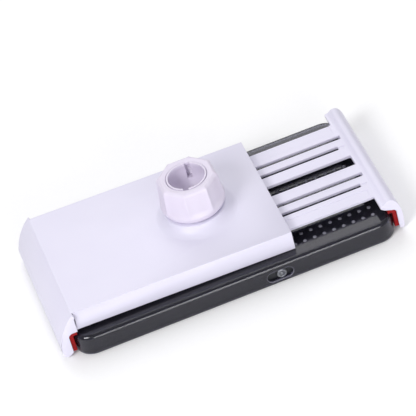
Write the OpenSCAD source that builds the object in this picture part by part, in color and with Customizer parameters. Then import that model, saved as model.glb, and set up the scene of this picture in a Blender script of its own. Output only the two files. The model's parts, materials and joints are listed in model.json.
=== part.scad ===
// Telescoping phone clamp with a ball-joint socket and a lock nut, holding a phone in a clear case.
// Frame: X runs from the fixed jaw (-X) to the sliding jaw (+X), the phone lies screen down on z = 0,
// and +Z leaves the open mouth of the ball socket. The origin is the centre of the whole outline.

/* [Phone] */
// Length of the phone in its case
phone_l = 147; // [130:1:165]
// Width of the phone in its case
phone_w = 79; // [74:1:95]
// Thickness of the phone in its case
phone_t = 10.4; // [9:0.1:13]
// Radius of the case's corners in plan
phone_corner_r = 8; // [5:0.5:12]
// Wall of the clear case
case_wall = 1.3; // [1:0.1:2]
// Diameter of the round side button
button_d = 4.6; // [3.6:0.2:5]

/* [Shell] */
// Width of the back shell over its skirts
shell_w = 68; // [66:1:78]
// Height of the shell's top above the screen side, at the fixed jaw
shell_top_h = 22.2; // [21.8:0.1:26]
// How much lower the shell's top is at its open end
shell_drop = 2; // [0:0.1:2.4]
// Wall of the back shell
shell_wall = 2; // [1.6:0.1:2.4]
// Length of tongue that shows between the shell and the sliding jaw
tongue_show = 40.5; // [25:0.5:48]

/* [Jaws] */
// How far each jaw stands out beyond the shell's side
jaw_flare = 1.5; // [0.5:0.1:3]
// Reach of the fixed jaw beyond the phone's end
fixed_reach = 6.7; // [6:0.1:9]
// Reach of the sliding jaw beyond the phone's end
sliding_reach = 4.5; // [4.2:0.1:7]
// Thickness of the rubber jaw pads
pad_t = 1.8; // [1.4:0.1:2]
// Gap between a pad and the phone's end
pad_gap = 0.25; // [0.1:0.05:0.4]

/* [Tongue] */
// Distance from the tongue's edge to the shell's side
tongue_margin = 6.75; // [6.5:0.05:9]
// Thickness of the sliding tongue's plate
tongue_t = 1.5; // [1.2:0.1:1.8]
// Height of the tongue's top above the phone's back
tongue_rise = 6; // [5.8:0.1:6.2]
// Width of the four narrow slots
slot_w = 2.5; // [1.5:0.1:3]
// Width of the slot along the middle
middle_slot_w = 6.9; // [4:0.1:9]
// Length of tongue that stays inside the shell at rest
tongue_tail = 50; // [45:1:54]
// Running gap on each side of the tongue and above and below it
slide_gap = 0.3; // [0.2:0.05:0.4]

/* [Ball socket] */
// Diameter of the mating ball
ball_d = 17; // [15:0.5:17.5]
// How much narrower the socket's mouth is than the ball
mouth_grip = 0.6; // [0.3:0.1:1.4]
// Wall of the collar between the ball and the tip of the thread
collar_wall = 2.1; // [1.9:0.1:2.4]
// Pitch of the thread rings
thread_pitch = 1.1; // [0.9:0.05:1.4]
// Width of the slits between the collar's fingers
slit_w = 2.4; // [1.2:0.1:3]
// Distance from the shell's open end to the socket's axis
socket_inset = 32.4; // [28:0.5:44]

/* [Lock nut] */
// Wall of the nut outside its thread, at the top
nut_wall = 3; // [2.6:0.1:4]
// How much further the nut's ribs stand out near its foot
nut_taper = 1; // [0.6:0.1:1.6]
// Height of the nut
nut_h = 16.8; // [15:0.2:20]
// How much wider the nut's mouth is than the socket's
lip_gap = 1.8; // [1.4:0.1:2.2]
// Number of flutes round the nut
nut_flutes = 8; // [6:1:10]

/* [Springs] */
// Wire diameter of the return springs
wire_d = 0.6; // [0.4:0.1:0.8]
// Outer diameter of the return springs
spring_d = 4; // [3:0.1:4.1]
// Turns of each return spring
spring_turns = 16; // [8:1:20]

/* [Hidden] */

eps = 0.01;
seam = 0.05;
fine = 96;
round_fn = 48;

// Places along X, with the whole outline centred on x = 0
span_x = fixed_reach + phone_l + sliding_reach;
phone_x0 = fixed_reach - span_x / 2;
phone_x1 = phone_x0 + phone_l;
phone_cx = (phone_x0 + phone_x1) / 2;
ridge_x = phone_x0 + 1.9;
tongue_x1 = phone_x1 - 4;
shell_x1 = tongue_x1 - tongue_show;
socket_x = shell_x1 - socket_inset;
tongue_x0 = shell_x1 - tongue_tail;

// Widths across the clamp, all measured from the shell's sides
jaw_w = shell_w + 2 * jaw_flare;
tongue_w = shell_w - 2 * tongue_margin;

// Heights
tongue_top = phone_t + tongue_rise;
tongue_z0 = tongue_top - tongue_t;
plate_t = 2;
plate_top = tongue_z0 - slide_gap;
plate_z0 = plate_top - plate_t;
skirt_z_jaw = phone_t + pad_gap + pad_t;
skirt_z_end = phone_t + 0.2;
shell_slope = shell_drop / (shell_x1 - ridge_x);
function shell_top_at(x) = shell_top_h - (x - ridge_x) * shell_slope;
function ceiling_at(x) = shell_top_at(x) - shell_wall;

// Ball socket and nut diameters, built up from the ball outwards
mouth_d = ball_d - mouth_grip;
thread_d = ball_d + 2 * collar_wall;
nut_mouth_d = mouth_d + lip_gap;
nut_top_d = thread_d + 2 * nut_wall;
nut_foot_d = nut_top_d + 2 * nut_taper;
nut_foot_round = 2.6;
nut_foot_rise = 3.2;
nut_top_round = 1.8;

// Ball socket and nut heights, stacked on the shell's top
plinth_h = 4.1;
plinth_top_r = nut_foot_d / 2 - 1;
flare_rx = 7;
flare_rz = 5.75;
flare_x = plinth_top_r + 0.2 + 0.951 * flare_rx;
plinth_top = shell_top_at(socket_x) + plinth_h;
nut_z0 = plinth_top + 0.4;
nut_top = nut_z0 + nut_h;
rim_top = nut_top - 0.2;
mouth_land = 1.6;
ball_clear = 0.1;
bowl_r = ball_d / 2 + ball_clear;
bowl_z = rim_top - mouth_land - sqrt(pow(bowl_r, 2) - pow(mouth_d / 2, 2));
slit_depth = 8;
slit_count = 2;
slit_start = 71;
thread_depth = 0.5;
thread_clear = 0.12;
neck_r = thread_d / 2 + 0.2;
neck_hole_r = neck_r + 0.2;
flange_r = thread_d / 2 + 6.4;
flange_z0 = tongue_top + 0.4;
flange_t = 1.6;
flange_top = flange_z0 + flange_t;
socket_screw_r = flange_r - 3;
socket_screw_angles = [30, 150, 270];
rim_r = nut_mouth_d / 2 - 0.2;

// Fasteners and inner fittings
screw_r = 1;
screw_head_r = 1.8;
screw_head_h = 1.2;
screw_clear = 0.15;
boss_r = 2.4;
boss_y = shell_w / 2 - shell_wall - boss_r + 0.4;
boss_in = 6;
boss_xs = [ridge_x + 8.5, shell_x1 - boss_in];
guide_t = 1.6;
guide_y = tongue_w / 2 - 2.4;
guide_x0 = tongue_x0 + 4;
edge_rail_t = 1.2;
pin_r = 1.2;
pin_fit = 0.03;
anchor_x = ridge_x + 10.5;
tongue_pin_x = tongue_x0 + 4;
spring_y = tongue_w / 2 - 6.75;
spring_z = plate_top + slide_gap + spring_d / 2;
notch_w = spring_d + 1.4;
notch_x1 = tongue_pin_x - pin_r - 1;

// Slots in the tongue, set off from its middle line
far_slot_y = tongue_w / 2 - 9.8;
near_slot_y = tongue_w / 2 - 16.4;
step_y = tongue_w / 2 - 5.75;
short_slot_gap = 3;
tail_solid = 12;

// Jaw profile values
hook_tip_z = 0.8;
hook_root = 0.4;
cavity_x0 = ridge_x + 2.5;
hook_wall_x = pad_t + pad_gap;
pad_top_z = phone_t + pad_gap;
pad_round = 2;
ridge_z = tongue_top + 1.6;

// Phone innards
button_x = phone_x0 + phone_l * 0.634;
button_z = phone_t * 0.42;
recess_l = 12.4;
recess_h = 5.6;
recess_x = button_x - 0.85;
case_back_t = 1.2;
screen_recess = 0.6;
glass_t = 0.8;
cover_t = 0.8;
phone_clear = 0.1;
device_l = phone_l - 2 * (case_wall + phone_clear);
device_w = phone_w - 2 * (case_wall + phone_clear);
device_r = phone_corner_r - case_wall - phone_clear;
device_top = phone_t - case_back_t - phone_clear;
frame_z0 = screen_recess + glass_t;
frame_z1 = device_top - cover_t;
frame_wall = 2.4;
bay_r = device_r - frame_wall + 1;
board_gap = 1.8;
web_z0 = frame_z0 + 1.3;
web_t = 0.7;
bay_z0 = web_z0 + web_t + seam;
camera_x = phone_x0 + 14;
camera_y = device_w / 2 - 14;
camera_s = 9;
battery_x1 = phone_cx + device_l / 2 - 24.1;
speaker_x0 = battery_x1 + 2;
speaker_x1 = speaker_x0 + 16;

// Rounded rectangle in plan, centred on the phone
module slab(l, w, r, z0, z1) {
    translate([phone_cx, 0, z0])
        linear_extrude(z1 - z0)
            union() {
                square([l - 2 * r, w], center = true);
                square([l, w - 2 * r], center = true);
                for (sx = [-1, 1], sy = [-1, 1])
                    translate([sx * (l / 2 - r), sy * (w / 2 - r)])
                        circle(r, $fn = fine);
            }
}

// Side-view outline (x, z) extruded across the width w
module side_profile(points, w) {
    translate([0, w / 2, 0])
        rotate([90, 0, 0])
            linear_extrude(w)
                polygon(points);
}

// Points on an arc: centre c, radii rx and rz, from angle a0 to a1 in n steps
function arc(c, rx, rz, a0, a1, n) =
    [for (i = [0:n]) let (a = a0 + (a1 - a0) * i / n) [c[0] + rx * cos(a), c[1] + rz * sin(a)]];

// Box from corner a to corner b
module block(a, b) {
    translate(a)
        cube(b - a);
}

// Outline of the fixed jaw: sloping outer face, rounded tip, upright inner wall
function fixed_hook() =
    let (wall = phone_x0 - hook_wall_x, out = phone_x0 - fixed_reach)
    concat(
        [[ridge_x + hook_root, shell_top_at(ridge_x + hook_root)], [ridge_x, shell_top_h]],
        arc([out + 6, hook_tip_z + 5.2], 6, 6, 152, 180, 6),
        arc([out + 2.1, hook_tip_z + 2.1], 2.1, 2.1, 200, 300, 10),
        [[wall, hook_tip_z + 1.3]],
        arc([wall + pad_round, skirt_z_jaw - pad_round], pad_round, pad_round, 180, 90, 6),
        [[ridge_x + hook_root, skirt_z_jaw]]);

// Outline of the sliding jaw: low ridge, bulging outer face, tip, upright inner wall and roof
function sliding_hook() =
    let (wall = phone_x1 + hook_wall_x, out = phone_x1 + sliding_reach, mid = 7.5)
    concat(
        arc([tongue_x1 - 0.6, ridge_z + 2.4], 4, 4, 270, 317, 8),
        [[phone_x1 - 0.9, ridge_z]],
        arc([out - 4.5, mid], 4.5, ridge_z - mid, 88, 0, 14),
        arc([out - 1.7, hook_tip_z + 1.5], 1.5, 1.5, 0, -90, 8),
        [[wall, hook_tip_z + 0.7]],
        arc([wall - pad_round, pad_top_z + pad_t - pad_round], pad_round, pad_round, 0, 90, 6),
        [[tongue_x1 + 0.9, tongue_z0 - 1.2], [tongue_x1 - 0.6, tongue_z0]]);

// One-piece moulded shell: top, skirts, fixed jaw, plinth and inner bosses
module back_shell() {
    color("#E6E3F0") difference() {
        union() {
            difference() {
                side_profile([[ridge_x - 1.5, skirt_z_jaw], [ridge_x, shell_top_h],
                              [shell_x1, shell_top_at(shell_x1)], [shell_x1, skirt_z_end]], shell_w);
                side_profile([[cavity_x0, 0], [cavity_x0, ceiling_at(cavity_x0)],
                              [shell_x1 + 1, ceiling_at(shell_x1 + 1)], [shell_x1 + 1, 0]],
                             shell_w - 2 * shell_wall);
            }
            side_profile(fixed_hook(), jaw_w);
            plinth();
            for (s = [-1, 1])
                shell_fittings(s);
            translate([socket_x, 0, flange_top])
                cylinder(r = flange_r + 0.8, h = shell_top_at(socket_x) - 0.8 - flange_top, $fn = fine);
        }
        translate([socket_x, 0, flange_top - 1])
            cylinder(r = neck_hole_r, h = plinth_top - flange_top + 2, $fn = fine);
        for (a = socket_screw_angles)
            translate([socket_x + socket_screw_r * cos(a), socket_screw_r * sin(a), flange_top - 1])
                cylinder(r = screw_r + screw_clear / 3, h = 5.2, $fn = round_fn);
        for (x = boss_xs, s = [-1, 1])
            translate([x, s * boss_y, plate_top - 1])
                cylinder(r = screw_r + screw_clear / 3, h = 4.4, $fn = round_fn);
    }
}

// Flared plinth under the nut
module plinth() {
    translate([socket_x, 0, 0])
        rotate_extrude($fn = fine)
            polygon(concat(
                [[neck_hole_r - 0.1, plinth_top - plinth_h - 1.6], [flare_x + 1, plinth_top - plinth_h - 0.6]],
                arc([flare_x, plinth_top + 1.6], flare_rx, flare_rz, 262, 198, 12),
                [[plinth_top_r - 0.5, plinth_top], [neck_hole_r - 0.1, plinth_top]]));
}

// Bosses and ceiling guide on one side, s = -1 front or +1 rear
module shell_fittings(s) {
    for (x = boss_xs)
        translate([x, s * boss_y, plate_top])
            cylinder(r = boss_r, h = ceiling_at(x) + 0.5 - plate_top, $fn = round_fn);
    y = s * guide_y;
    side = guide_t / 2;
    translate([0, y + side, 0])
        rotate([90, 0, 0])
            linear_extrude(guide_t)
                polygon([[guide_x0, tongue_top + slide_gap], [shell_x1 - 1.5, tongue_top + slide_gap],
                         [shell_x1 - 1.5, ceiling_at(shell_x1) + 0.5],
                         [guide_x0, ceiling_at(guide_x0) + 0.5]]);
}

// Slotted, threaded socket with its flange under the shell
module ball_socket() {
    rings = floor((rim_top - 2.6 - (plinth_top + 0.6)) / thread_pitch);
    root_r = thread_d / 2 - thread_depth;
    thread_z0 = plinth_top + 0.6;
    thread_z1 = thread_z0 + rings * thread_pitch;
    color("#EDE8F4") difference() {
        translate([socket_x, 0, 0])
            rotate_extrude($fn = fine)
                polygon(concat(
                    [[0, bowl_z - bowl_r - 2], [8, bowl_z - bowl_r - 2], [8, flange_z0],
                     [flange_r, flange_z0], [flange_r, flange_top - seam], [neck_r, flange_top - seam],
                     [neck_r, plinth_top - 0.4], [root_r, plinth_top]],
                    ring_points(root_r, root_r + thread_depth, thread_z0, rings),
                    [[root_r, thread_z1], [root_r, rim_top - 2.2], [rim_r, rim_top - 1.1],
                     [rim_r, rim_top], [0, rim_top]]));
        translate([socket_x, 0, bowl_z])
            sphere(bowl_r, $fn = fine);
        translate([socket_x, 0, bowl_z])
            cylinder(d = mouth_d, h = rim_top - bowl_z + 1, $fn = fine);
        for (i = [0:slit_count - 1])
            translate([socket_x, 0, rim_top - slit_depth])
                rotate(slit_start + i * 360 / slit_count)
                    translate([0, -slit_w / 2, 0])
                        cube([thread_d, slit_w, slit_depth + 1]);
        for (a = socket_screw_angles)
            translate([socket_x + socket_screw_r * cos(a), socket_screw_r * sin(a), flange_z0])
                countersink_cut();
    }
}

// Saw-tooth rings between two radii, starting at z0
function ring_points(r_a, r_b, z0, n) =
    [for (i = [0:n - 1], k = [0, 1])
        [k == 0 ? r_a : r_b, z0 + (i + k / 2) * thread_pitch]];

// Hole and countersink for a flange screw, its lower face on z = 0
module countersink_cut() {
    translate([0, 0, -1])
        cylinder(r = screw_r + screw_clear, h = flange_t + 2, $fn = round_fn);
    translate([0, 0, -seam])
        cylinder(r1 = screw_head_r + screw_clear, r2 = screw_r + screw_clear, h = 1 + seam, $fn = round_fn);
}

// Countersunk screws that hold the socket's flange in the shell
module socket_screws() {
    color("silver")
        for (a = socket_screw_angles)
            translate([socket_x + socket_screw_r * cos(a), socket_screw_r * sin(a), flange_z0 + 0.05]) {
                difference() {
                    cylinder(r1 = screw_head_r - 0.1, r2 = screw_r, h = 0.9, $fn = round_fn);
                    cross_recess(0.5);
                }
                translate([0, 0, 0.9 - eps])
                    cylinder(r = screw_r, h = 3.9, $fn = round_fn);
            }
}

// Cross recess cut upwards from z = 0
module cross_recess(depth) {
    for (t = [0, 90])
        rotate(t)
            translate([-1, -0.25, -1])
                cube([2, 0.5, depth + 1]);
}

// Plate that closes the shell's underside and carries the tongue
module bed_plate() {
    half_w = shell_w / 2 - shell_wall - 0.3;
    color("#DAD6E6") difference() {
        union() {
            block([cavity_x0 + 0.2, -half_w, plate_z0], [shell_x1 - 0.6, half_w, plate_top]);
            for (s = [-1, 1])
                block([guide_x0, s * (tongue_w / 2 + slide_gap + edge_rail_t / 2) - edge_rail_t / 2, plate_top - eps],
                      [shell_x1 - boss_in - boss_r - 1,
                       s * (tongue_w / 2 + slide_gap + edge_rail_t / 2) + edge_rail_t / 2, tongue_top]);
        }
        for (x = boss_xs, s = [-1, 1])
            translate([x, s * boss_y, plate_z0 - 1]) {
                cylinder(r = screw_r + screw_clear, h = plate_t + 2, $fn = round_fn);
                cylinder(r = screw_head_r + screw_clear, h = 1 + screw_head_h, $fn = round_fn);
            }
        for (s = [-1, 1])
            translate([anchor_x, s * spring_y, plate_z0 + 0.4])
                cylinder(r = pin_r + pin_fit, h = plate_t, $fn = round_fn);
    }
}

// Two rubber strips between the bed plate and the phone's back
module bed_pads() {
    color("#2A2A2E")
        for (s = [-1, 1])
            block([ridge_x + 8, s * 16 - 6, phone_t + 0.25], [shell_x1 - 6, s * 16 + 6, plate_z0]);
}

// Pan-head screws that hold the bed plate to the shell's bosses
module plate_screws() {
    color("silver")
        for (x = boss_xs, s = [-1, 1])
            translate([x, s * boss_y, plate_z0 + 0.1]) {
                difference() {
                    cylinder(r = screw_head_r, h = screw_head_h - 0.1, $fn = round_fn);
                    cross_recess(0.6);
                }
                translate([0, 0, screw_head_h - 0.1 - eps])
                    cylinder(r = screw_r, h = plate_t - screw_head_h + 2.9, $fn = round_fn);
            }
}

// Outline of a jaw pad: a short roof over the phone's edge and a long face down its end.
// side = -1 for the fixed jaw, +1 for the sliding jaw
function pad_outline(end_x, side) =
    let (inner = end_x + side * pad_gap, outer = end_x + side * (hook_wall_x - seam),
         top = pad_top_z + pad_t - seam, r = pad_round)
    [for (p = concat(
        [[-1.6, pad_top_z], [pad_gap, pad_top_z], [pad_gap, hook_tip_z + 1.6],
         [pad_gap + 0.5, hook_tip_z + 1.1], [hook_wall_x - seam, hook_tip_z + 1.5]],
        arc([hook_wall_x - seam - r, top - r], r, r, 0, 90, 6),
        [[-1.6, top - 0.3]]))
        [end_x + side * p[0], p[1]]];

module fixed_jaw_pad() {
    color("#7A0A12")
        side_profile(pad_outline(phone_x0, -1), jaw_w - 1);
}

module moving_jaw_pad() {
    color("#C8141C")
        side_profile(pad_outline(phone_x1, 1), jaw_w - 1);
}

// Steel pins in the bed plate that hold the springs' fixed ends
module anchor_pins() {
    color("silver")
        for (s = [-1, 1])
            spring_pin(anchor_x, s * spring_y, plate_z0 + 0.45);
}

// Steel pins in the tongue that hold the springs' moving ends
module tongue_pins() {
    color("silver")
        for (s = [-1, 1])
            spring_pin(tongue_pin_x, s * spring_y, tongue_z0 + 0.05);
}

module spring_pin(x, y, z0) {
    translate([x, y, z0])
        cylinder(r = pin_r, h = spring_z + 0.7 - z0, $fn = round_fn);
}

// Point on a spring's centre line, u from 0 to 1 along X
function coil_point(u, y) =
    let (x0 = anchor_x + pin_r + wire_d / 2 + 0.1, x1 = notch_x1 - wire_d / 2 - 0.2,
         r = (spring_d - wire_d) / 2, a = 360 * spring_turns * u)
    [x0 + (x1 - x0) * u, y + r * cos(a), spring_z + r * sin(a)];

// Helical spring swept as one closed skin
module coil_spring(y) {
    steps = spring_turns * 10;
    sides = 6;
    rings = [for (i = [0:steps])
        let (p = coil_point(i / steps, y), a = 360 * spring_turns * i / steps)
        [for (k = [0:sides - 1])
            let (b = 360 * k / sides)
            p + [wire_d / 2 * sin(b), wire_d / 2 * cos(b) * cos(a), wire_d / 2 * cos(b) * sin(a)]]];
    points = [for (ring = rings, p = ring) p];
    walls = [for (i = [0:steps - 1], k = [0:sides - 1])
        let (n = (k + 1) % sides, a = i * sides, b = (i + 1) * sides)
        each [[a + k, a + n, b + n], [a + k, b + n, b + k]]];
    last = steps * sides;
    caps = [[for (k = [sides - 1:-1:0]) k], [for (k = [0:sides - 1]) last + k]];
    polyhedron(points, concat(walls, caps), convexity = 10);
}

module spring_front() {
    color("silver")
        coil_spring(-spring_y);
}

module spring_rear() {
    color("silver")
        coil_spring(spring_y);
}

// One-piece tongue: slotted plate and sliding jaw
module slide_tongue() {
    long_end = tongue_x1 + 0.3;
    short_end = tongue_x1 - short_slot_gap;
    slot_x0 = tongue_x0 + tail_solid;
    color("#EDEAF6") difference() {
        union() {
            block([tongue_x0, -tongue_w / 2, tongue_z0], [tongue_x1 + 0.5, tongue_w / 2, tongue_top]);
            side_profile(sliding_hook(), jaw_w);
        }
        plate_slot(slot_x0, long_end, far_slot_y, slot_w);
        plate_slot(slot_x0, short_end, near_slot_y, slot_w);
        plate_slot(slot_x0, long_end, -near_slot_y, slot_w);
        plate_slot(slot_x0, short_end, -far_slot_y, slot_w);
        plate_slot(slot_x0, tongue_x1, 0, middle_slot_w);
        for (s = [-1, 1])
            plate_slot(tongue_x0 - 1, notch_x1, s * spring_y, notch_w);
        for (y = [near_slot_y, -far_slot_y])
            block([short_end - 1, y - 0.35, tongue_top - 0.25], [tongue_x1 - 0.1, y + 0.35, tongue_top + 1]);
        for (s = [-1, 1])
            translate([tongue_x0 - 1, s * (step_y + 5) - 5, tongue_top - 0.25])
                cube([tongue_x1 - tongue_x0 - 0.6, 10, 2]);
        for (s = [-1, 1])
            translate([tongue_pin_x, s * spring_y, tongue_z0 - 1])
                cylinder(r = pin_r + pin_fit, h = tongue_t + 2, $fn = round_fn);
    }
}

// Slot through the tongue's plate
module plate_slot(x0, x1, y, w) {
    block([x0, y - w / 2, tongue_z0 - 2], [x1, y + w / 2, tongue_top + 3]);
}

// Fluted nut with thread rings inside and a lip over the collar
module lock_nut() {
    crest_r = thread_d / 2 - thread_depth + thread_clear;
    root_r = thread_d / 2 + thread_clear;
    rings = floor((rim_top - 2.6 - (plinth_top + 0.6)) / thread_pitch);
    thread_z0 = plinth_top + 0.6;
    top_r = nut_top_d / 2;
    foot_r = nut_foot_d / 2;
    mouth_r = nut_mouth_d / 2;
    color("#F1ECF8") difference() {
        translate([socket_x, 0, 0])
            rotate_extrude($fn = fine)
                polygon(concat(
                    [[root_r + 0.5, nut_z0]],
                    arc([foot_r - nut_foot_round, nut_z0 + nut_foot_rise], nut_foot_round, nut_foot_rise, 270, 360, 8),
                    arc([top_r - nut_top_round, nut_top - 1.6], nut_top_round, 1.6, 0, 90, 8),
                    [[mouth_r + 0.5, nut_top], [mouth_r, nut_top - 0.5], [mouth_r, rim_top - 0.9],
                     [crest_r + 0.2, rim_top - 1.9]],
                    [for (i = [rings - 1:-1:0], k = [1, 0])
                        [k == 1 ? root_r : crest_r, thread_z0 + (i + k / 2) * thread_pitch]],
                    [[crest_r, nut_z0 + 0.3]]));
        for (i = [0:nut_flutes - 1])
            translate([socket_x, 0, 0])
                rotate(360 / nut_flutes * i)
                    flute_cut();
    }
}

// One shallow flute that runs out towards the nut's foot
module flute_cut() {
    cut_r = 60;
    top_depth = 1;
    top_x = nut_top_d / 2 + cut_r - top_depth;
    foot_x = nut_foot_d / 2 + cut_r - 0.05;
    lean = atan((foot_x - top_x) / (nut_h - 3));
    translate([foot_x, 0, nut_z0 + 3])
        rotate([0, -lean, 0])
            translate([0, 0, -12])
                cylinder(r = cut_r, h = nut_h + 24, $fn = 180);
}

// Soft clear case: one open tray with an oval cut-out for the button
module clear_case() {
    inner_r = phone_corner_r - case_wall;
    color("#C9CCD6", 0.35) difference() {
        slab(phone_l, phone_w, phone_corner_r, 0, phone_t);
        slab(phone_l - 2 * case_wall, phone_w - 2 * case_wall, inner_r, -1, phone_t - case_back_t);
        oval_cut(recess_l, recess_h);
        translate([camera_x, camera_y, phone_t - case_back_t - 1])
            cylinder(d = camera_s + 1, h = case_back_t + 2, $fn = fine);
        translate([phone_x1 - case_wall - 1, -5.5, frame_z0 + 1])
            cube([case_wall + 2, 11, 4.4]);
    }
}

// Oval hole through the case's front wall
module oval_cut(l, h) {
    y0 = -phone_w / 2 - 1;
    depth = case_wall + 2;
    block([recess_x - (l - h) / 2, y0, button_z - h / 2], [recess_x + (l - h) / 2, y0 + depth, button_z + h / 2]);
    for (s = [-1, 1])
        translate([recess_x + s * (l - h) / 2, y0, button_z])
            rotate([-90, 0, 0])
                cylinder(d = h, h = depth, $fn = round_fn);
}

// Glossy dark rear cover
module back_cover() {
    color("#24242B") difference() {
        slab(device_l, device_w, device_r, frame_z1 + seam, device_top);
        translate([camera_x, camera_y, frame_z1 - 1])
            cylinder(d = camera_s - 0.8, h = cover_t + 3, $fn = fine);
    }
}

// Rim and web that carry the electronics
module mid_frame() {
    color("#2B2B33") difference() {
        slab(device_l, device_w, device_r, frame_z0 + seam, frame_z1);
        slab(device_l - 2 * frame_wall, device_w - 2 * frame_wall, bay_r, 0, web_z0);
        slab(device_l - 2 * frame_wall, device_w - 2 * frame_wall, bay_r, web_z0 + web_t, frame_z1 + 1);
        translate([button_x, -device_w / 2 - 1, button_z])
            rotate([-90, 0, 0])
                cylinder(d = button_d + 0.3, h = frame_wall + 2, $fn = round_fn);
        block([phone_x1 - 12, -4.8, bay_z0 - seam - 0.1], [phone_x1, 4.8, bay_z0 + 3.2]);
    }
}

module display_glass() {
    color("#101014")
        slab(device_l, device_w, device_r, screen_recess, frame_z0);
}

module display_panel() {
    margin = frame_wall + 0.2;
    color("#1A1A22")
        slab(device_l - 2 * margin, device_w - 2 * margin, bay_r - 0.2, frame_z0 + seam, web_z0 - seam);
}

module battery() {
    color("#3A3D45")
        block([phone_cx - 20, -25, bay_z0], [battery_x1, 25, frame_z1 - 0.4]);
}

module main_board() {
    board_x0 = phone_cx - device_l / 2 + frame_wall + board_gap;
    color("#1D5A36") {
        block([board_x0, -device_w / 2 + frame_wall + board_gap, bay_z0],
              [phone_cx - 22, device_w / 2 - frame_wall - board_gap, bay_z0 + 1]);
        block([board_x0 + 8, -20, bay_z0 + 1 - eps], [board_x0 + 26, -4, bay_z0 + 2.2]);
    }
}

module camera_module() {
    color("#15151A") {
        translate([camera_x - camera_s / 2, camera_y - camera_s / 2, bay_z0 + 1 + seam])
            cube([camera_s, camera_s, frame_z1 - bay_z0 - 1.2]);
        translate([camera_x, camera_y, frame_z1 - 0.3])
            cylinder(d = camera_s - 1.2, h = cover_t + 0.3, $fn = fine);
    }
}

module speaker() {
    color("#2E2E33")
        block([speaker_x0, 12, bay_z0], [speaker_x1, 30, bay_z0 + 3]);
}

// Charging socket: open box facing the phone's end
module charge_port() {
    end_x = phone_cx + device_l / 2 - 0.2;
    color("silver") difference() {
        block([end_x - 7, -4.6, bay_z0], [end_x, 4.6, bay_z0 + 3]);
        block([end_x - 6, -4.1, bay_z0 + 0.5], [end_x + 1, 4.1, bay_z0 + 2.5]);
    }
}

// Round button in the oval cut-out
module side_button() {
    y0 = -device_w / 2 - 1;
    color("#3A3A42")
        translate([button_x, y0, button_z])
            rotate([-90, 0, 0])
                difference() {
                    cylinder(d = button_d, h = frame_wall + 0.4, $fn = round_fn);
                    translate([0, 0, -1])
                        cylinder(d = button_d * 0.45, h = 1.15, $fn = round_fn);
                }
}

back_shell();
ball_socket();
socket_screws();
bed_plate();
bed_pads();
plate_screws();
fixed_jaw_pad();
anchor_pins();
spring_front();
spring_rear();
slide_tongue();
moving_jaw_pad();
tongue_pins();
lock_nut();
clear_case();
back_cover();
mid_frame();
display_glass();
display_panel();
battery();
main_board();
camera_module();
speaker();
charge_port();
side_button();
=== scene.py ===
"""Telescoping phone clamp with a ball-joint socket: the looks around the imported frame.

Every length is in metres, in the frame's own axes: +X from the fixed jaw to the sliding jaw, +Z out of the
ball socket's mouth, and the phone lies screen down on z = 0.
"""

import json
import logging
import math
from collections.abc import Iterable, Sequence
from dataclasses import dataclass, field
from enum import Enum
from functools import partial

import bmesh
import bpy
from mathutils import Matrix, Vector

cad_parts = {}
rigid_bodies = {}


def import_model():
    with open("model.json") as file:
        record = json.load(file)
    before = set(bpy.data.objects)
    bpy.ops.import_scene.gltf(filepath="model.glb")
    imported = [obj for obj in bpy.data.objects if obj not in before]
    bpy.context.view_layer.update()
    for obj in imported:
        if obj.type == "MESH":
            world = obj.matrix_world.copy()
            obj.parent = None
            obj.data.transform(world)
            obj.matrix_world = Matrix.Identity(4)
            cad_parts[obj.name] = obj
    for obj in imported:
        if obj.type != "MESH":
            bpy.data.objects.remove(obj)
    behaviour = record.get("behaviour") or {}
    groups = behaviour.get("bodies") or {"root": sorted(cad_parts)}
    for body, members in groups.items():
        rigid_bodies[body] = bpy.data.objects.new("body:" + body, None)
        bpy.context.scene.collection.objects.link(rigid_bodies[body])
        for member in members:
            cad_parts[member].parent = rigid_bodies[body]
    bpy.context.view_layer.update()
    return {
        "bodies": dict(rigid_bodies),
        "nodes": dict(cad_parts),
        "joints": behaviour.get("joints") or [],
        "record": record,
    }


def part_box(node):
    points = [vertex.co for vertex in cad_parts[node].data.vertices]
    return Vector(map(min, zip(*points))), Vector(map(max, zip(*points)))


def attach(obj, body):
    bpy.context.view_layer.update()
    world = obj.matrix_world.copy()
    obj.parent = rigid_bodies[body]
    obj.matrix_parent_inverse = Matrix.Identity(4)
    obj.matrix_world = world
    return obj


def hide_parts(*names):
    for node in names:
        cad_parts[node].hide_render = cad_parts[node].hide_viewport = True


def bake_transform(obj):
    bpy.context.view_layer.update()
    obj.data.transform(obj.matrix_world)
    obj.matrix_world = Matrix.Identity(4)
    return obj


LOG = logging.getLogger("phone_clamp")
MM = 0.001
PAINTED_HIGHLIGHT = "painted_highlight"
Point = tuple[float, float, float]


# ---------------------------------------------------------------------------------------------------------
# Small tools
# ---------------------------------------------------------------------------------------------------------
def linear(hex_code: str) -> tuple[float, float, float, float]:
    """Turn an sRGB hex colour into linear RGBA.

    Args:
        hex_code: Six hex digits with a leading hash.

    Returns:
        Linear red, green, blue and an alpha of 1.
    """
    channels = [int(hex_code[i:i + 2], 16) / 255 for i in (1, 3, 5)]
    red, green, blue = [c / 12.92 if c <= 0.04045 else ((c + 0.055) / 1.055) ** 2.4 for c in channels]
    return red, green, blue, 1.0


def add_node(tree: bpy.types.NodeTree, kind: str, feeds: dict | None = None, **settings) -> bpy.types.Node:
    """Add a node, set its properties and feed its inputs.

    Args:
        tree: Shader or geometry tree.
        kind: The node's type name.
        feeds: Input name or index to a plain value or to the output socket that feeds it.
        **settings: Properties of the node.

    Returns:
        The new node.
    """
    node = tree.nodes.new(kind)
    for key, value in settings.items():
        setattr(node, key, value)
    for key, value in (feeds or {}).items():
        if isinstance(value, bpy.types.NodeSocket):
            tree.links.new(value, node.inputs[key])
        else:
            node.inputs[key].default_value = value
    return node


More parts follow.
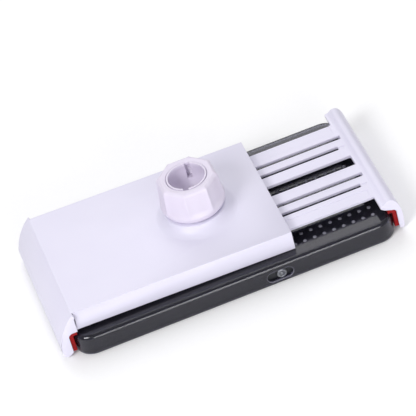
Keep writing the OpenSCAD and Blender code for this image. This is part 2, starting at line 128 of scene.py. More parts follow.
def new_piece(name: str, points: Sequence[Point], faces: Iterable[Sequence[int]]) -> bpy.types.Object:
    """Make a mesh object at the origin.

    Args:
        name: The piece's name.
        points: Vertices in metres.
        faces: Vertex indices of each face, anticlockwise seen from outside.

    Returns:
        The linked object.
    """
    mesh = bpy.data.meshes.new(name)
    mesh.from_pydata(points, [], list(faces))
    mesh.update()
    piece = bpy.data.objects.new(name, mesh)
    bpy.context.scene.collection.objects.link(piece)
    return piece


def bake_modifiers(piece: bpy.types.Object) -> None:
    """Replace the piece's mesh with its evaluated mesh and drop its modifiers."""
    depsgraph = bpy.context.evaluated_depsgraph_get()
    mesh = bpy.data.meshes.new_from_object(piece.evaluated_get(depsgraph))
    piece.modifiers.clear()
    piece.data = mesh
    mesh.name = piece.name


def outward(piece: bpy.types.Object) -> None:
    """Merge doubles and turn every face of a closed piece outwards."""
    work = bmesh.new()
    work.from_mesh(piece.data)
    bmesh.ops.remove_doubles(work, verts=work.verts, dist=0.0005 * MM)
    bmesh.ops.recalc_face_normals(work, faces=work.faces)
    work.to_mesh(piece.data)
    work.free()


def shade(piece: bpy.types.Object, sharp_deg: float = 35) -> None:
    """Shade a piece smooth, with its edges over sharp_deg left sharp."""
    piece.data.shade_smooth()
    piece.data.set_sharp_from_angle(angle=math.radians(sharp_deg))


def soften(piece: bpy.types.Object, width: float, segments: int = 3, angle_deg: float = 30,
           clamp: bool = True) -> None:
    """Round the piece's edges with a bevel and keep its flat faces flat.

    Args:
        piece: The piece to round.
        width: Width of the rounding in metres.
        segments: Faces across the rounding.
        angle_deg: Edges sharper than this are rounded.
        clamp: True keeps the rounding narrower than the shortest edge beside it.
    """
    bevel = piece.modifiers.new("soften", "BEVEL")
    bevel.width = width
    bevel.segments = segments
    bevel.limit_method = "ANGLE"
    bevel.angle_limit = math.radians(angle_deg)
    bevel.use_clamp_overlap = clamp
    bevel.harden_normals = True
    piece.data.shade_smooth()
    bake_modifiers(piece)


def painted_highlight(piece: bpy.types.Object) -> None:
    """Mark every point of a clear piece for the painted highlight: a paler, less clear tint."""
    layer = piece.data.attributes.new(PAINTED_HIGHLIGHT, "FLOAT", "POINT")
    layer.data.foreach_set("value", [1.0] * len(piece.data.vertices))


def copy_of(nodes: dict[str, bpy.types.Object], node: str, name: str) -> bpy.types.Object:
    """Copy a frame node as one clean mesh with its flat faces whole.

    Args:
        nodes: The frame's nodes.
        node: The node to copy.
        name: The copy's name.

    Returns:
        A merged copy with coplanar triangles dissolved.
    """
    work = bmesh.new()
    work.from_mesh(nodes[node].data)
    bmesh.ops.remove_doubles(work, verts=work.verts, dist=0.002 * MM)
    bmesh.ops.dissolve_limit(work, angle_limit=math.radians(0.5), verts=work.verts, edges=work.edges,
                             delimit=set())
    mesh = bpy.data.meshes.new(name)
    work.to_mesh(mesh)
    work.free()
    piece = bpy.data.objects.new(name, mesh)
    bpy.context.scene.collection.objects.link(piece)
    return piece


def cut(piece: bpy.types.Object, cutters: Sequence[bpy.types.Object]) -> None:
    """Subtract closed cutters from a piece and delete them."""
    for cutter in cutters:
        boolean = piece.modifiers.new("cut", "BOOLEAN")
        boolean.operation = "DIFFERENCE"
        boolean.solver = "EXACT"
        boolean.object = cutter
    bake_modifiers(piece)
    for cutter in cutters:
        bpy.data.objects.remove(cutter)


def weld(piece: bpy.types.Object, addition: bpy.types.Object) -> None:
    """Unite a closed addition with a piece and delete it."""
    boolean = piece.modifiers.new("weld", "BOOLEAN")
    boolean.operation = "UNION"
    boolean.solver = "EXACT"
    boolean.object = addition
    bake_modifiers(piece)
    bpy.data.objects.remove(addition)


def lathe(name: str, profile: Sequence[tuple[float, float]], centre: Vector, steps: int,
          closed: bool = False) -> bpy.types.Object:
    """Turn a profile about a vertical axis.

    Args:
        name: The piece's name.
        profile: (radius, height) points. An open profile starts and ends on the axis.
        centre: A point on the axis, at height 0 of the profile.
        steps: Faces round the axis.
        closed: True joins the last point to the first.

    Returns:
        The turned piece, closed and facing outwards.
    """
    rows = [[(centre.x + r * math.cos(a), centre.y + r * math.sin(a), centre.z + z)
             for a in (math.tau * k / steps for k in range(steps))] for r, z in profile]
    return loops_piece(name, rows, closed, caps=False)


def loops_piece(name: str, rows: Sequence[Sequence[Point]], closed: bool = False,
                caps: bool = True) -> bpy.types.Object:
    """Join loops of points with the same count into one closed skin.

    Args:
        name: The piece's name.
        rows: Loops in order along the skin.
        closed: True joins the last loop to the first.
        caps: True closes the first and the last loop with one face each.

    Returns:
        The piece, facing outwards.
    """
    count = len(rows[0])
    points = [p for row in rows for p in row]
    pairs = list(zip(range(len(rows)), range(1, len(rows))))
    if closed:
        pairs.append((len(rows) - 1, 0))
    faces = [(a * count + k, a * count + (k + 1) % count, b * count + (k + 1) % count, b * count + k)
             for a, b in pairs for k in range(count)]
    if caps and not closed:
        faces.append(tuple(reversed(range(count))))
        faces.append(tuple((len(rows) - 1) * count + k for k in range(count)))
    piece = new_piece(name, points, faces)
    outward(piece)
    return piece


def port_cutter(name: str, start_x: float, end_x: float, half_y: float, gap: float) -> bpy.types.Object:
    """A block that cuts the charging socket's opening.

    Args:
        name: The cutter's name.
        start_x: Where the cut begins along X.
        end_x: Where it ends.
        half_y: Half its width.
        gap: How far it stands above and below the socket.

    Returns:
        The closed cutter.
    """
    low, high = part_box("charge_port")
    bottom, top = low.z - gap, high.z + gap
    return loops_piece(name, [[(x, -half_y, bottom), (x, half_y, bottom), (x, half_y, top), (x, -half_y, top)]
                              for x in (start_x, end_x)])


def hole_cutter(name: str, radius: float, start: float, end: float, centre: Vector,
                steps: int = 48) -> bpy.types.Object:
    """A cylinder along Z from start to end above centre, for cutting a round hole."""
    return lathe(name, [(0, start), (radius, start), (radius, end), (0, end)], centre, steps)


def arc(centre: tuple[float, float], radius: float, start_deg: float, end_deg: float,
        steps: int) -> list[tuple[float, float]]:
    """Points on a circular arc.

    Args:
        centre: The arc's centre.
        radius: Its radius.
        start_deg: Angle of the first point.
        end_deg: Angle of the last point.
        steps: Number of spans.

    Returns:
        steps + 1 points.
    """
    angles = (math.radians(start_deg + (end_deg - start_deg) * i / steps) for i in range(steps + 1))
    return [(centre[0] + radius * math.cos(a), centre[1] + radius * math.sin(a)) for a in angles]


def rounded_loop(centre: Vector, length: float, width: float, radius: float, inset: float, height: float,
                 corner_steps: int = 12) -> list[Point]:
    """A rounded rectangle in plan.

    Args:
        centre: Its centre.
        length: Size along X before the inset.
        width: Size along Y before the inset.
        radius: Corner radius before the inset.
        inset: How far the loop lies inside the outline.
        height: The loop's z.
        corner_steps: Spans in each corner.

    Returns:
        The loop's points, the same count for every inset.
    """
    corner = max(radius - inset, 0.3 * MM)
    half_x = length / 2 - inset - corner
    half_y = width / 2 - inset - corner
    loop = []
    for quarter, (sx, sy) in enumerate(((1, 1), (-1, 1), (-1, -1), (1, -1))):
        spot = (centre.x + sx * half_x, centre.y + sy * half_y)
        loop += [(x, y, height) for x, y in arc(spot, corner, 90 * quarter, 90 * quarter + 90, corner_steps)]
    return loop


# ---------------------------------------------------------------------------------------------------------
# Finishes
# ---------------------------------------------------------------------------------------------------------
@dataclass(frozen=True)
class Finish:
    """What every finish shares: a name, two tones and a gloss."""

    name: str
    colour: str
    roughness: float
    second: str = "#000000"

    def start(self) -> tuple[bpy.types.Material, bpy.types.NodeTree, bpy.types.Node, bpy.types.NodeSocket]:
        """Make the material with its shader.

        Returns:
            The material, its tree, its Principled node and the Object coordinates.
        """
        material = bpy.data.materials.new(self.name)
        material.use_nodes = True
        tree = material.node_tree
        tree.nodes.clear()
        shader = add_node(tree, "ShaderNodeBsdfPrincipled",
                          {"Base Color": linear(self.colour), "Roughness": self.roughness})
        add_node(tree, "ShaderNodeOutputMaterial", {"Surface": shader.outputs["BSDF"]})
        place = add_node(tree, "ShaderNodeTexCoord")
        material.diffuse_color = linear(self.colour)
        return material, tree, shader, place.outputs["Object"]

    def vary(self, tree: bpy.types.NodeTree, shader: bpy.types.Node, cloud: bpy.types.NodeSocket,
             fine: bpy.types.NodeSocket, below: float, above: float) -> None:
        """Drift between the two tones with a cloud, and vary the gloss with a finer noise.

        Args:
            tree: The material's tree.
            shader: Its Principled node.
            cloud: The wide noise.
            fine: The fine noise.
            below: How far the roughness falls under its mean.
            above: How far it rises over its mean.
        """
        tree.links.new(tint(tree, spread(tree, cloud, 0, 1), self.colour, self.second),
                       shader.inputs["Base Color"])
        tree.links.new(spread(tree, fine, self.roughness - below, self.roughness + above),
                       shader.inputs["Roughness"])

    def material(self) -> bpy.types.Material:
        """Build the material."""
        raise NotImplementedError


def set_inputs(shader: bpy.types.Node, values: dict) -> None:
    """Set plain values on a node's inputs by their names."""
    for label, value in values.items():
        shader.inputs[label].default_value = value


def grain(tree: bpy.types.NodeTree, place: bpy.types.NodeSocket, pitch: float,
          detail: float = 3) -> bpy.types.Node:
    """A noise whose features are about pitch metres apart."""
    return add_node(tree, "ShaderNodeTexNoise", {"Vector": place, "Scale": 1 / pitch, "Detail": detail})


def spread(tree: bpy.types.NodeTree, source: bpy.types.NodeSocket, low: float,
           high: float) -> bpy.types.NodeSocket:
    """Map a 0 to 1 noise onto the range low to high."""
    ranged = add_node(tree, "ShaderNodeMapRange",
                      {"Value": source, "From Min": 0.25, "From Max": 0.75, "To Min": low, "To Max": high})
    return ranged.outputs["Result"]


def tint(tree: bpy.types.NodeTree, factor: bpy.types.NodeSocket, first: str,
         second: str) -> bpy.types.NodeSocket:
    """Blend two hex colours by a factor."""
    mix = add_node(tree, "ShaderNodeMix", {0: factor, 6: linear(first), 7: linear(second)}, data_type="RGBA")
    return mix.outputs[2]


def relief(tree: bpy.types.NodeTree, shader: bpy.types.Node, height: bpy.types.NodeSocket, depth: float,
           strength: float = 0.5) -> None:
    """Bump the shader's normal by a height of depth metres."""
    bump = add_node(tree, "ShaderNodeBump", {"Height": height, "Distance": depth, "Strength": strength})
    tree.links.new(bump.outputs["Normal"], shader.inputs["Normal"])


@dataclass(frozen=True)
class MouldedPlastic(Finish):
    """ABS or nylon, injection moulded: an even satin skin with a fine spark-eroded texture."""

    second: str = "#FFFFFF"
    texture: float = 0.5 * MM
    depth: float = 0.02 * MM
    subsurface: float = 0.06

    def material(self) -> bpy.types.Material:
        """Build the material.

        Returns:
            A satin skin whose gloss and tone drift slightly, so that wide faces do not look painted.
        """
        material, tree, shader, place = self.start()
        drift = grain(tree, place, 38 * MM, 2).outputs["Fac"]
        fine = grain(tree, place, self.texture, 2).outputs["Fac"]
        self.vary(tree, shader, drift, fine, 0.04, 0.05)
        set_inputs(shader, {"IOR": 1.53, "Subsurface Weight": self.subsurface,
                            "Subsurface Radius": (1.2, 1.0, 1.1), "Subsurface Scale": 0.6 * MM})
        relief(tree, shader, fine, self.depth)
        return material


@dataclass(frozen=True)
class SoftRubber(Finish):
    """Moulded rubber: matt, with a soft grazing sheen and a fine dimpled skin."""

    texture: float = 0.35 * MM

    def material(self) -> bpy.types.Material:
        """Build the material.

        Returns:
            A matt skin with a faint lighter bloom.
        """
        material, tree, shader, place = self.start()
        bloom = grain(tree, place, 6 * MM).outputs["Fac"]
        fine = grain(tree, place, self.texture, 2).outputs["Fac"]
        self.vary(tree, shader, bloom, fine, 0.06, 0.08)
        set_inputs(shader, {"Specular IOR Level": 0.3, "Sheen Weight": 0.03, "Sheen Roughness": 0.4})
        relief(tree, shader, fine, 0.05 * MM, 0.6)
        return material


@dataclass(frozen=True)
class PlatedSteel(Finish):
    """Zinc-plated or drawn steel: a grey metal with fine lines along the drawing direction."""

    second: str = "#9A9C9E"
    line_pitch: float = 0.12 * MM
    along: Vector = field(default_factory=lambda: Vector((0.08, 1, 1)))

    def material(self) -> bpy.types.Material:
        """Build the material.

        Returns:
            A bright metal whose gloss varies in fine lines.
        """
        material, tree, shader, place = self.start()
        turned = add_node(tree, "ShaderNodeMapping", {"Vector": place, "Scale": self.along})
        lines = grain(tree, turned.outputs["Vector"], self.line_pitch, 2).outputs["Fac"]
        cloud = grain(tree, place, 1.5 * MM).outputs["Fac"]
        self.vary(tree, shader, cloud, lines, 0.08, 0.1)
        set_inputs(shader, {"Metallic": 1.0})
        relief(tree, shader, lines, 0.01 * MM, 0.4)
        return material


@dataclass(frozen=True)
class ClearElastomer(Finish):
    """Clear TPU: refracts like a soft plastic, with faint flow marks and a slightly waxy gloss.

    A piece whose mark attribute is 1 gets a painted highlight: a paler tint and hardly clear.
    """

    # The second tone is the paler painted highlight of the marked dots and bead.
    second: str = "#A3A2B2"
    haze: float = 0.06
    highlight_haze: float = 0.4

    def material(self) -> bpy.types.Material:
        """Build the material.

        Returns:
            A clear skin that lets the dark phone show and keeps soft highlights on its edges.
        """
        material, tree, shader, place = self.start()
        flow = grain(tree, place, 9 * MM).outputs["Fac"]
        fine = grain(tree, place, 0.6 * MM, 2).outputs["Fac"]
        tree.links.new(spread(tree, flow, self.roughness - 0.03, self.roughness + 0.05),
                       shader.inputs["Roughness"])
        set_inputs(shader, {"IOR": 1.49})
        highlight_mask = add_node(tree, "ShaderNodeAttribute", attribute_name=PAINTED_HIGHLIGHT).outputs["Fac"]
        tree.links.new(tint(tree, highlight_mask, self.colour, self.second), shader.inputs["Base Color"])
        clear = add_node(tree, "ShaderNodeMapRange", {"Value": highlight_mask, "To Min": 1 - self.haze,
                                                      "To Max": 1 - self.highlight_haze})
        tree.links.new(clear.outputs["Result"], shader.inputs["Transmission Weight"])
        relief(tree, shader, fine, 0.004 * MM, 0.3)
        return material


@dataclass(frozen=True)
class Lacquer(Finish):
    """Lacquered glass or metal: a deep dark colour under a clear coat, with faint mottling."""

    coat: float = 0.4
    metallic: float = 0.0

    def material(self) -> bpy.types.Material:
        """Build the material.

        Returns:
            A dark skin with a crisp coat over a softer ground.
        """
        material, tree, shader, place = self.start()
        cloud = grain(tree, place, 14 * MM).outputs["Fac"]
        flake = grain(tree, place, 0.25 * MM, 2).outputs["Fac"]
        self.vary(tree, shader, cloud, flake, 0.03, 0.04)
        set_inputs(shader, {"Metallic": self.metallic, "Coat Weight": self.coat, "Coat Roughness": 0.06})
        relief(tree, shader, flake, 0.003 * MM, 0.2)
        return material


@dataclass(frozen=True)
class CircuitBoard(Finish):
    """Glass-fibre board under green solder mask, with tracks in a lighter green and gold pads."""

    second: str = "#17552F"
    pads: str = "#B8943E"

    def material(self) -> bpy.types.Material:
        """Build the material.

        Returns:
            A satin green board with brick-like tracks.
        """
        material, tree, shader, place = self.start()
        tracks = add_node(tree, "ShaderNodeTexBrick",
                          {"Vector": place, "Color1": linear(self.colour), "Color2": linear(self.second),
                           "Mortar": linear(self.pads), "Scale": 1 / (4 * MM), "Mortar Size": 0.012,
                           "Brick Width": 0.8, "Row Height": 0.3})
        tree.links.new(tracks.outputs["Color"], shader.inputs["Base Color"])
        relief(tree, shader, tracks.outputs["Fac"], 0.04 * MM, 0.4)
        return material


class Slot(Enum):
    """The record's material slots, each with the finish that it gets."""

    SHELL = "shell_plastic"
    SOCKET = "socket_plastic"
    JAW_RUBBER = "jaw_rubber"
    BLACK_RUBBER = "black_rubber"
    STEEL = "steel"
    SPRING = "spring_steel"
    CASE = "clear_tpu"
    COVER = "phone_gloss"
    FRAME = "phone_frame"
    SCREEN = "screen_glass"
    BOARD = "board_green"
    CELL = "cell_grey"
    BUTTON = "button_metal"


def finishes() -> dict[Slot, Finish]:
    """List the finish of each slot.

    Returns:
        Slot to finish.
    """
    return {
        # ABS, moulded: the lavender-white satin skin of the shell and the tongue
        Slot.SHELL: MouldedPlastic("abs_lavender_white", "#DFDCEC", 0.42, second="#DAD7E8"),
        # Nylon, moulded: slightly pinker and a little more translucent, for the collar and the nut
        Slot.SOCKET: MouldedPlastic("nylon_pink_white", "#DDD6E6", 0.38, second="#D9D1E2", subsurface=0.04),
        # Thermoplastic rubber in red: matt and saturated
        Slot.JAW_RUBBER: SoftRubber("tpr_red", "#A0030A", 0.6, second="#8A0308"),
        # Foam rubber: nearly black and dry
        Slot.BLACK_RUBBER: SoftRubber("foam_rubber_black", "#1B1B1E", 0.8, second="#242428",
                                      texture=0.6 * MM),
        # Steel, zinc plated: screws, pins and the charging socket
        Slot.STEEL: PlatedSteel("steel_zinc_plated", "#C6C8CC", 0.32),
        # Spring steel, drawn wire: a darker grey with lines along the wire
        Slot.SPRING: PlatedSteel("spring_steel_drawn", "#A9ABB0", 0.28, line_pitch=0.08 * MM),
        # TPU, moulded clear: the case and its dots, with a paler tint painted on the dots and the bead as
        # highlight
        Slot.CASE: ClearElastomer("tpu_clear", "#6C6B80", 0.06),
        # Back-painted glass: near-black navy with a sharp gloss
        Slot.COVER: Lacquer("glass_back_painted", "#14151B", 0.16, second="#101116", coat=0.3),
        # Aluminium, painted: near-black navy with a satin gloss
        Slot.FRAME: Lacquer("aluminium_painted_navy", "#12141C", 0.4, second="#0F1118", coat=0.0),
        # Cover glass over a dark display: black and mirror-like
        Slot.SCREEN: Lacquer("cover_glass_black", "#0A0A0D", 0.08, second="#08080B", coat=1.0),
        # Solder mask: satin green
        Slot.BOARD: CircuitBoard("solder_mask_green", "#1C6B3C", 0.45),
        # Foil pouch: dull grey
        Slot.CELL: Lacquer("foil_pouch_grey", "#3C3F47", 0.45, second="#34373E", coat=0.1, metallic=0.5),
        # Aluminium, turned and anodised: mid-grey metal
        Slot.BUTTON: PlatedSteel("aluminium_anodised_dark", "#6A6C78", 0.3),
    }


# ---------------------------------------------------------------------------------------------------------
# The workshop: what every sub-assembly needs
# ---------------------------------------------------------------------------------------------------------
class Workshop:
    """Holds the frame and the finishes, and hands finished pieces over to the frame."""

    def __init__(self, frame: dict) -> None:
        """Build the materials of every slot.
        """
        self.nodes: dict[str, bpy.types.Object] = frame["nodes"]
        self.materials = {slot: finish.material() for slot, finish in finishes().items()}

    def dress(self, piece: bpy.types.Object, slot: Slot) -> None:
        """Give a piece, or a frame node, one finish."""
        piece.data.materials.clear()
        piece.data.materials.append(self.materials[slot])

    def hand_over(self, piece: bpy.types.Object, body: str, slot: Slot, *replaced: str) -> None:
        """Finish a piece: material, body, slot and the nodes it stands for.

        Args:
            piece: The finished piece.
            body: The body that it rides on.
            slot: Its material slot.
            *replaced: Frame nodes that it replaces.
        """
        self.dress(piece, slot)
        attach(piece, body)
        if replaced:
            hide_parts(*replaced)
        LOG.info("%s rides on %s with %d faces", piece.name, body, len(piece.data.polygons))

    def keep_node(self, node: str, slot: Slot) -> None:
        """Keep a frame node as it is and give it a finish."""
        self.dress(self.nodes[node], slot)
        LOG.info("%s keeps its frame mesh", node)

    def softened_node(self, node: str, name: str, body: str, slot: Slot, width: float,
                      segments: int = 3) -> None:
        """Replace a node by a copy with rounded edges.

        Args:
            node: The frame node.
            name: The new piece's name.
            body: The body that it rides on.
            slot: Its material slot.
            width: Width of the rounding.
            segments: Faces across the rounding.
        """
        piece = copy_of(self.nodes, node, name)
        soften(piece, width, segments)
        self.hand_over(piece, body, slot, node)


def run_geometry(piece: bpy.types.Object, tree: bpy.types.NodeTree, values: dict[str, float]) -> None:
    """Run a geometry tree on a piece and keep the result as its plain mesh.

    Args:
        piece: The piece that the tree works on.
        tree: A geometry tree with named inputs.
        values: Input name to value.
    """
    modifier = piece.modifiers.new("shape", "NODES")
    modifier.node_group = tree
    for item in tree.interface.items_tree:
        if item.in_out == "INPUT" and item.name in values:
            modifier[item.identifier] = values[item.name]
    bake_modifiers(piece)


def geometry_tree(name: str, inputs: dict[str, str]) -> tuple[bpy.types.NodeTree, bpy.types.Node]:
    """Start a geometry tree with named inputs.

    Args:
        name: The tree's name.
        inputs: Input name to socket type, after the geometry input.

    Returns:
        The tree and its input node.
    """
    tree = bpy.data.node_groups.new(name, "GeometryNodeTree")
    tree.interface.new_socket(name="Geometry", in_out="INPUT", socket_type="NodeSocketGeometry")
    for label, kind in inputs.items():
        tree.interface.new_socket(name=label, in_out="INPUT", socket_type=kind)
    tree.interface.new_socket(name="Geometry", in_out="OUTPUT", socket_type="NodeSocketGeometry")
    return tree, tree.nodes.new("NodeGroupInput")


def close_tree(tree: bpy.types.NodeTree, geometry: bpy.types.NodeSocket,
               material: bpy.types.Material) -> None:
    """End a geometry tree in Realize Instances and Set Material."""
    real = add_node(tree, "GeometryNodeRealizeInstances", {"Geometry": geometry})
    dressed = add_node(tree, "GeometryNodeSetMaterial",
                       {"Geometry": real.outputs["Geometry"], "Material": material})
    add_node(tree, "NodeGroupOutput", {"Geometry": dressed.outputs["Geometry"]})


def math_node(tree: bpy.types.NodeTree, operation: str,
              *values: float | bpy.types.NodeSocket) -> bpy.types.NodeSocket:
    """Apply one arithmetic operation inside a geometry tree."""
    return add_node(tree, "ShaderNodeMath", dict(enumerate(values)), operation=operation).outputs[0]


# ---------------------------------------------------------------------------------------------------------
# Sub-assemblies
# ---------------------------------------------------------------------------------------------------------
@dataclass
class HolderShell:
    """The fixed half of the clamp: shell with its jaw, bed plate, foam strips and fasteners."""

    body: str = "holder_body"
    edge_radius: float = 0.18 * MM
    plate_edge: float = 0.3 * MM
    bulge: float = 1.5 * MM
    bulge_foot: float = 6.0 * MM
    bulge_root: float = 1.2 * MM

    def bulge_piece(self, shell: bpy.types.Object) -> bpy.types.Object:
        """The fixed jaw's outer face as a shallow arch over its straight slope.

        Args:
            shell: The shell's copy, whose widest points tell the slope's ends.

        Returns:
            A closed bar that fills the space between the slope and the arch.
        """
        low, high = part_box("back_shell")
        top = max((v.co for v in shell.data.vertices if v.co.y > high.y - 0.1 * MM), key=lambda co: co.z)
        start = Vector((top.x, top.z))
        end = Vector((low.x, self.bulge_foot))
        chord = end - start
        half = chord.length / 2
        radius = (half * half + self.bulge * self.bulge) / (2 * self.bulge)
        inward = Vector((-chord.y, chord.x)).normalized()
        centre = (start + end) / 2 + inward * (radius - self.bulge)
        spread_deg = math.degrees(math.asin(half / radius))
        middle_deg = math.degrees(math.atan2(-inward.y, -inward.x))
        outline = arc((centre.x, centre.y), radius, middle_deg - spread_deg, middle_deg + spread_deg, 10)
        root = inward * self.bulge_root
        outline += [tuple(end + root), tuple(start + root - Vector((0, self.bulge_root)))]
        return loops_piece("jaw_bulge", [[(x, y, z) for x, z in outline] for y in (-high.y, high.y)])

    def build(self, shop: Workshop) -> None:
        """Build and hand over the shell's pieces."""
        shell = copy_of(shop.nodes, "back_shell", "moulded_shell")
        weld(shell, self.bulge_piece(shell))
        soften(shell, self.edge_radius, 3, 40, clamp=False)
        shop.hand_over(shell, self.body, Slot.SHELL, "back_shell")
        shop.softened_node("bed_plate", "closing_plate", self.body, Slot.SHELL, self.plate_edge, 2)
        shop.softened_node("bed_pads", "foam_strips", self.body, Slot.BLACK_RUBBER, self.plate_edge, 2)
        for node in ("plate_screws", "socket_screws", "anchor_pins"):
            shop.keep_node(node, Slot.STEEL)


@dataclass
class BallCollar:
    """The slitted, threaded collar that takes the ball."""

    body: str = "holder_body"
    edge_radius: float = 0.12 * MM

    def build(self, shop: Workshop) -> None:
        """Build and hand over the collar."""
        shop.softened_node("ball_socket", "slitted_collar", self.body, Slot.SOCKET, self.edge_radius, 2)


@dataclass
class LockNut:
    """The nut over the collar: a turned body with shallow flutes pressed between its eight ribs."""

    body: str = "nut"
    flutes: int = 8
    steps: int = 320
    foot_radius: float = 14.5 * MM
    top_radius: float = 13.55 * MM
    mouth_radius: float = 9.1 * MM
    bore_radius: float = 10.72 * MM
    thread_depth: float = 0.45 * MM
    thread_pitch: float = 1.1 * MM
    thread_rings: int = 12
    thread_start: float = 0.6 * MM
    lip: float = 2.8 * MM
    foot_reach: float = 3.2 * MM
    foot_rise: float = 4.2 * MM
    brow_radius: float = 1.9 * MM
    smooth_foot: float = 3.2 * MM
    flute_fade: float = 2.6 * MM
    flatness: float = 0.4
    hollow: float = 0.6 * MM
    rib_softness: float = 0.012
    rib_sharpness: float = 4.0
    lip_dish: float = 0.16 * MM
    lip_fall: float = 0.03 * MM
    lip_start: float = 0.6 * MM
    lip_width: float = 1.3 * MM
    mouth_round: float = 0.5 * MM
    mouth_drop: float = 0.75 * MM
    bore_step: float = 1.2 * MM
    end_flare: float = 0.4 * MM
    rim_share: float = 1.2 * MM
    wall_steps: int = 14

    def profile(self, height: float) -> list[tuple[float, float]]:
        """Outline of the nut's wall as (radius, height above its foot), closed.

        Args:
            height: The nut's height.

        Returns:
            The outline: up the outside, over the dished lip and down the threaded bore.
        """
        foot = [(self.foot_radius - self.foot_reach + self.foot_reach * x, self.foot_rise * (1 + z))
                for x, z in arc((0, 0), 1, -90, 0, 10)]
        top = height - self.brow_radius
        wall = [(self.foot_radius + (self.top_radius - self.foot_radius) * t / self.wall_steps,
                 self.foot_rise + (top - self.foot_rise) * t / self.wall_steps)
                for t in range(1, self.wall_steps)]
        brow = arc((self.top_radius - self.brow_radius, top), self.brow_radius, 0, 90, 9)
        lip = [(self.top_radius - self.brow_radius - self.lip_start, height - self.lip_fall),
               (self.mouth_radius + self.lip_width, height - self.lip_dish)]
        mouth = arc((self.mouth_radius + self.mouth_round, height - self.mouth_drop), self.mouth_round,
                    90, 180, 5)
        bore = [(self.mouth_radius, height - self.lip + self.bore_step),
                (self.bore_radius, height - self.lip)]
        thread_top = self.thread_start + self.thread_rings * self.thread_pitch
        rings = [(self.bore_radius - (self.thread_depth if half else 0),
                  thread_top - (i + half / 2) * self.thread_pitch)
                 for i in range(self.thread_rings) for half in (0, 1)]
        end = [(self.bore_radius, self.thread_start), (self.bore_radius + self.end_flare, 0.0)]
        return foot + wall + brow + lip + mouth + bore + rings + end

    def fluting(self, material: bpy.types.Material) -> bpy.types.NodeTree:
        """Geometry tree that presses flutes into a turned nut.

        Args:
            material: The nut's material.

        Returns:
            A tree that moves each outer point in between the ribs, partly to a flat and partly to a hollow.
        """
        names = ("Axis X", "Flutes", "Flatness", "Hollow", "Softness", "Foot", "Fade", "Inner", "Outer")
        tree, given = geometry_tree("nut_fluting", dict.fromkeys(names, "NodeSocketFloat"))
        value = given.outputs
        op = partial(math_node, tree)
        here = add_node(tree, "GeometryNodeInputPosition")
        spot = add_node(tree, "ShaderNodeSeparateXYZ", {0: here.outputs[0]})
        x = op("SUBTRACT", spot.outputs["X"], value["Axis X"])
        y, z = spot.outputs["Y"], spot.outputs["Z"]
        radius = op("SQRT", op("ADD", op("MULTIPLY", x, x), op("MULTIPLY", y, y)))
        half = op("DIVIDE", math.pi, value["Flutes"])
        in_flute = op("WRAP", op("ARCTAN2", y, x), half, op("MULTIPLY", half, -1.0))
        to_rib = op("SUBTRACT", half, op("ABSOLUTE", in_flute))
        soft = value["Softness"]
        squares = op("ADD", op("MULTIPLY", to_rib, to_rib), op("MULTIPLY", soft, soft))
        eased = op("SUBTRACT", op("SQRT", squares), soft)
        across = op("SUBTRACT", half, eased)
        flat = op("DIVIDE", op("COSINE", half), op("COSINE", across))
        flat = op("SUBTRACT", 1.0, op("MULTIPLY", value["Flatness"], op("SUBTRACT", 1.0, flat)))
        share = op("POWER", op("DIVIDE", across, half), self.rib_sharpness)
        dip = op("MULTIPLY", value["Hollow"], op("SUBTRACT", 1.0, share))
        pressed = op("SUBTRACT", op("MULTIPLY", radius, flat), dip)
        rise = add_node(tree, "ShaderNodeMapRange", {
            "Value": z, "From Min": value["Foot"], "From Max": op("ADD", value["Foot"], value["Fade"])},
            interpolation_type="SMOOTHSTEP")
        reach = add_node(tree, "ShaderNodeMapRange", {
            "Value": radius, "From Min": value["Inner"], "From Max": value["Outer"]})
        amount = op("MULTIPLY", rise.outputs[0], reach.outputs[0])
        new_radius = op("ADD", radius, op("MULTIPLY", amount, op("SUBTRACT", pressed, radius)))
        scale = op("DIVIDE", new_radius, radius)
        place = add_node(tree, "ShaderNodeCombineXYZ", {
            "X": op("MULTIPLY_ADD", x, scale, value["Axis X"]), "Y": op("MULTIPLY", y, scale), "Z": z})
        moved = add_node(tree, "GeometryNodeSetPosition",
                         {"Geometry": value["Geometry"], "Position": place.outputs["Vector"]})
        close_tree(tree, moved.outputs["Geometry"], material)
        return tree

    def build(self, shop: Workshop) -> None:
        """Turn the nut, press its flutes and hand it over."""
        low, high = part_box("lock_nut")
        centre = Vector(((low.x + high.x) / 2, 0, low.z))
        height = high.z - low.z
        nut = lathe("fluted_nut", self.profile(height), centre, self.steps, closed=True)
        run_geometry(nut, self.fluting(shop.materials[Slot.SOCKET]), {
            "Axis X": centre.x, "Flutes": float(self.flutes), "Flatness": self.flatness,
            "Hollow": self.hollow, "Softness": self.rib_softness, "Foot": low.z + self.smooth_foot,
            "Fade": self.flute_fade, "Inner": self.bore_radius, "Outer": self.top_radius - self.rim_share})
        shade(nut, 50)
        shop.hand_over(nut, self.body, Slot.SOCKET, "lock_nut")


@dataclass
class SlidingJaw:
    """The slotted tongue in one piece with its jaw, and the pins that hold the springs."""

    body: str = "sliding_jaw"
    edge_radius: float = 0.22 * MM

    def build(self, shop: Workshop) -> None:
        """Build and hand over the tongue."""
        shop.softened_node("slide_tongue", "slotted_tongue", self.body, Slot.SHELL, self.edge_radius, 3)
        shop.keep_node("tongue_pins", Slot.STEEL)


class Side(Enum):
    """The two jaws: frame node, body and the direction in which the jaw lies."""

    FIXED = ("fixed_jaw_pad", "holder_body", -1)
    SLIDING = ("moving_jaw_pad", "sliding_jaw", 1)


